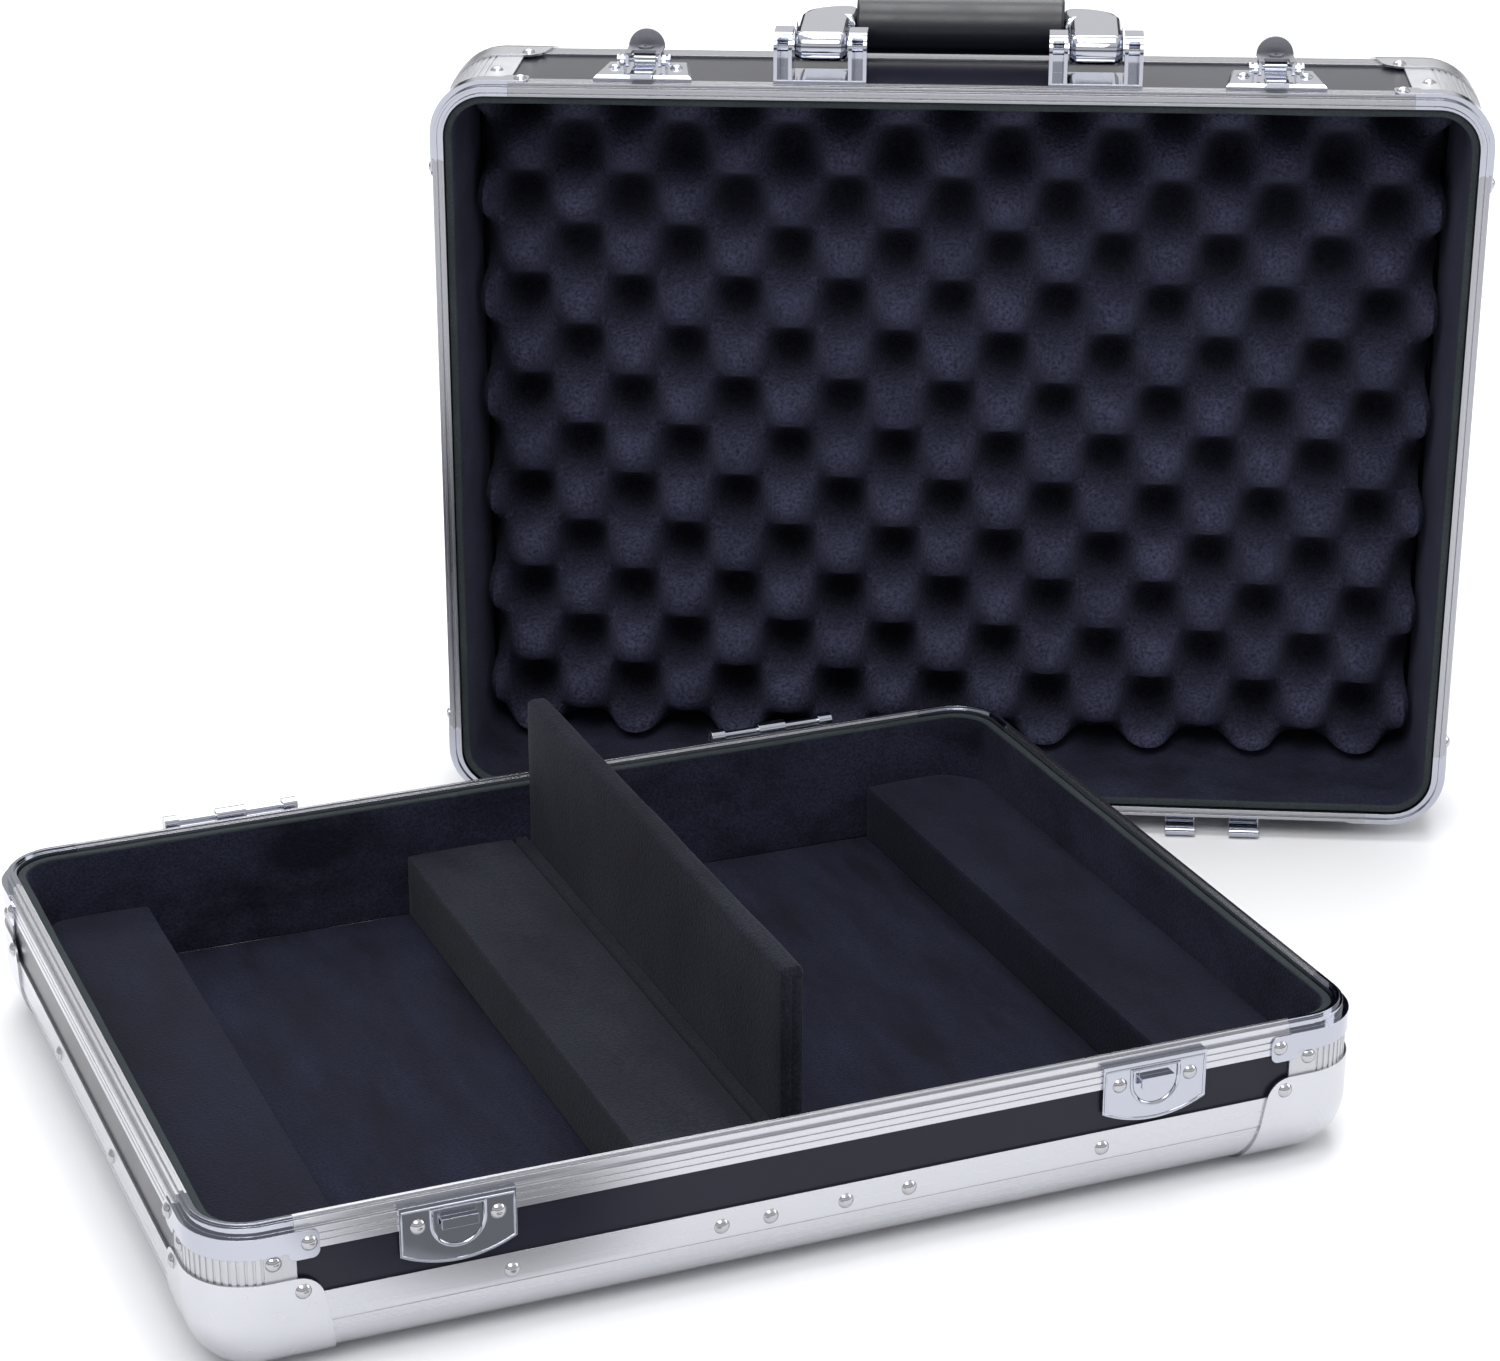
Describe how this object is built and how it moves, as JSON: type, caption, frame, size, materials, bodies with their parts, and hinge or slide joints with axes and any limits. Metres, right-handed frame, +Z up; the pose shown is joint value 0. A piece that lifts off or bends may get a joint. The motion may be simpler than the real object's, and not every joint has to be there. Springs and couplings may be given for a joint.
{
  "type": "cd player flight case",
  "caption": "Open flight case for a table-top disc player: a tray with padding and a divider, and a lift-off lid with egg-crate foam, latches and a folding handle.",
  "frame": {"origin": "centre of the tray's underside, on the surface that the case stands on", "axes": "+X along the tray's width to the right, -Y towards the catch side (front), +Z up"},
  "size_m": [0.6849, 0.5271, 0.3747],
  "materials": {
    "aluminium_extrusion": "satin anodised",
    "drawn_aluminium": "satin",
    "chrome_plate": "polished",
    "dome_rivet": "bright",
    "laminate": "satin laminate on plywood",
    "velour": "short pile",
    "floor_velour": "short pile",
    "foam_padding": "covered foam",
    "divider_cover": "covered board",
    "egg_foam": "open-cell foam",
    "grip": "satin black",
    "lock_barrel": "satin"
  },
  "bodies": {
    "tray": {"tray_panel": "laminate", "tray_corner_posts": "laminate", "tray_rim_corners": "chrome_plate", "tray_corner_bands": "drawn_aluminium", "tray_ball_corners": "drawn_aluminium", "tray_wall_lining": "velour", "tray_wall_front": "laminate", "tray_wall_rear": "laminate", "tray_wall_sides": "laminate", "tray_edge_front": "aluminium_extrusion", "tray_edge_rear": "aluminium_extrusion", "tray_edge_sides": "aluminium_extrusion", "tray_rim_front": "aluminium_extrusion", "tray_rim_rear": "aluminium_extrusion", "tray_rim_sides": "aluminium_extrusion", "tray_rivets": "dome_rivet", "tray_floor_lining": "floor_velour", "hinge_pins": "chrome_plate", "catch_plate_left": "chrome_plate", "catch_plate_right": "chrome_plate", "tray_hinge_left": "chrome_plate", "tray_hinge_right": "chrome_plate", "support_strip_left": "foam_padding", "support_strip_right": "foam_padding", "middle_block": "foam_padding"},
    "divider": {"divider_board": "divider_cover"},
    "lid": {"lid_panel": "laminate", "lid_corner_posts": "laminate", "lid_rim_corners": "chrome_plate", "lid_corner_bands": "drawn_aluminium", "lid_ball_corners": "drawn_aluminium", "lid_wall_lining": "velour", "lid_wall_front": "laminate", "lid_wall_rear": "laminate", "lid_wall_sides": "laminate", "lid_edge_front": "aluminium_extrusion", "lid_edge_rear": "aluminium_extrusion", "lid_edge_sides": "aluminium_extrusion", "lid_rim_front": "aluminium_extrusion", "lid_rim_rear": "aluminium_extrusion", "lid_rim_sides": "aluminium_extrusion", "lid_rivets": "dome_rivet", "egg_foam": "egg_foam", "latch_pins": "chrome_plate", "lid_hooks_left": "chrome_plate", "lid_hooks_right": "chrome_plate", "latch_plate_left": "chrome_plate", "latch_plate_right": "chrome_plate", "handle_brackets": "chrome_plate", "handle_pins": "chrome_plate"},
    "handle": {"handle_arm_left": "chrome_plate", "handle_arm_right": "chrome_plate", "handle_grip": "grip"},
    "lever_left": {"latch_lever_left": "chrome_plate"},
    "claw_left": {"latch_claw_left": "chrome_plate"},
    "barrel_left": {"lock_barrel_left": "lock_barrel"},
    "lever_right": {"latch_lever_right": "chrome_plate"},
    "claw_right": {"latch_claw_right": "chrome_plate"},
    "barrel_right": {"lock_barrel_right": "lock_barrel"}
  },
  "joints": [
    {"name": "lid_lift", "type": "slide", "parent": "tray", "child": "lid", "axis": [0, 0, 1], "range_m": [0, 0.25]},
    {"name": "divider_lift", "type": "slide", "parent": "tray", "child": "divider", "axis": [0, 0, 1], "range_m": [0, 0.12]},
    {"name": "handle_fold", "type": "hinge", "parent": "lid", "child": "handle", "pos_m": [0.21995, 0.18992, 0.36205], "axis": [0.8931, -0.4498, 0], "range_deg": [0, 90]},
    {"name": "lever_left_turn", "type": "hinge", "parent": "lid", "child": "lever_left", "pos_m": [0.09651, 0.2494, 0.35525], "axis": [0.8931, -0.4498, 0], "range_deg": [0, 75]},
    {"name": "claw_left_turn", "type": "hinge", "parent": "lever_left", "child": "claw_left", "pos_m": [0.09849, 0.25333, 0.35525], "axis": [0.8931, -0.4498, 0], "range_deg": [-75, 0]},
    {"name": "barrel_left_turn", "type": "hinge", "parent": "lever_left", "child": "barrel_left", "pos_m": [0.09965, 0.25565, 0.35785], "axis": [0, 0, 1], "range_deg": [0, 90]},
    {"name": "lever_right_turn", "type": "hinge", "parent": "lid", "child": "lever_right", "pos_m": [0.34123, 0.12616, 0.35525], "axis": [0.8931, -0.4498, 0], "range_deg": [0, 75]},
    {"name": "claw_right_turn", "type": "hinge", "parent": "lever_right", "child": "claw_right", "pos_m": [0.3432, 0.13009, 0.35525], "axis": [0.8931, -0.4498, 0], "range_deg": [-75, 0]},
    {"name": "barrel_right_turn", "type": "hinge", "parent": "lever_right", "child": "barrel_right", "pos_m": [0.34437, 0.13241, 0.35785], "axis": [0, 0, 1], "range_deg": [0, 90]}
  ],
  "couplings": [
    {"joint": "claw_left_turn", "follows": "lever_left_turn", "ratio": -1},
    {"joint": "claw_right_turn", "follows": "lever_right_turn", "ratio": -1}
  ]
}
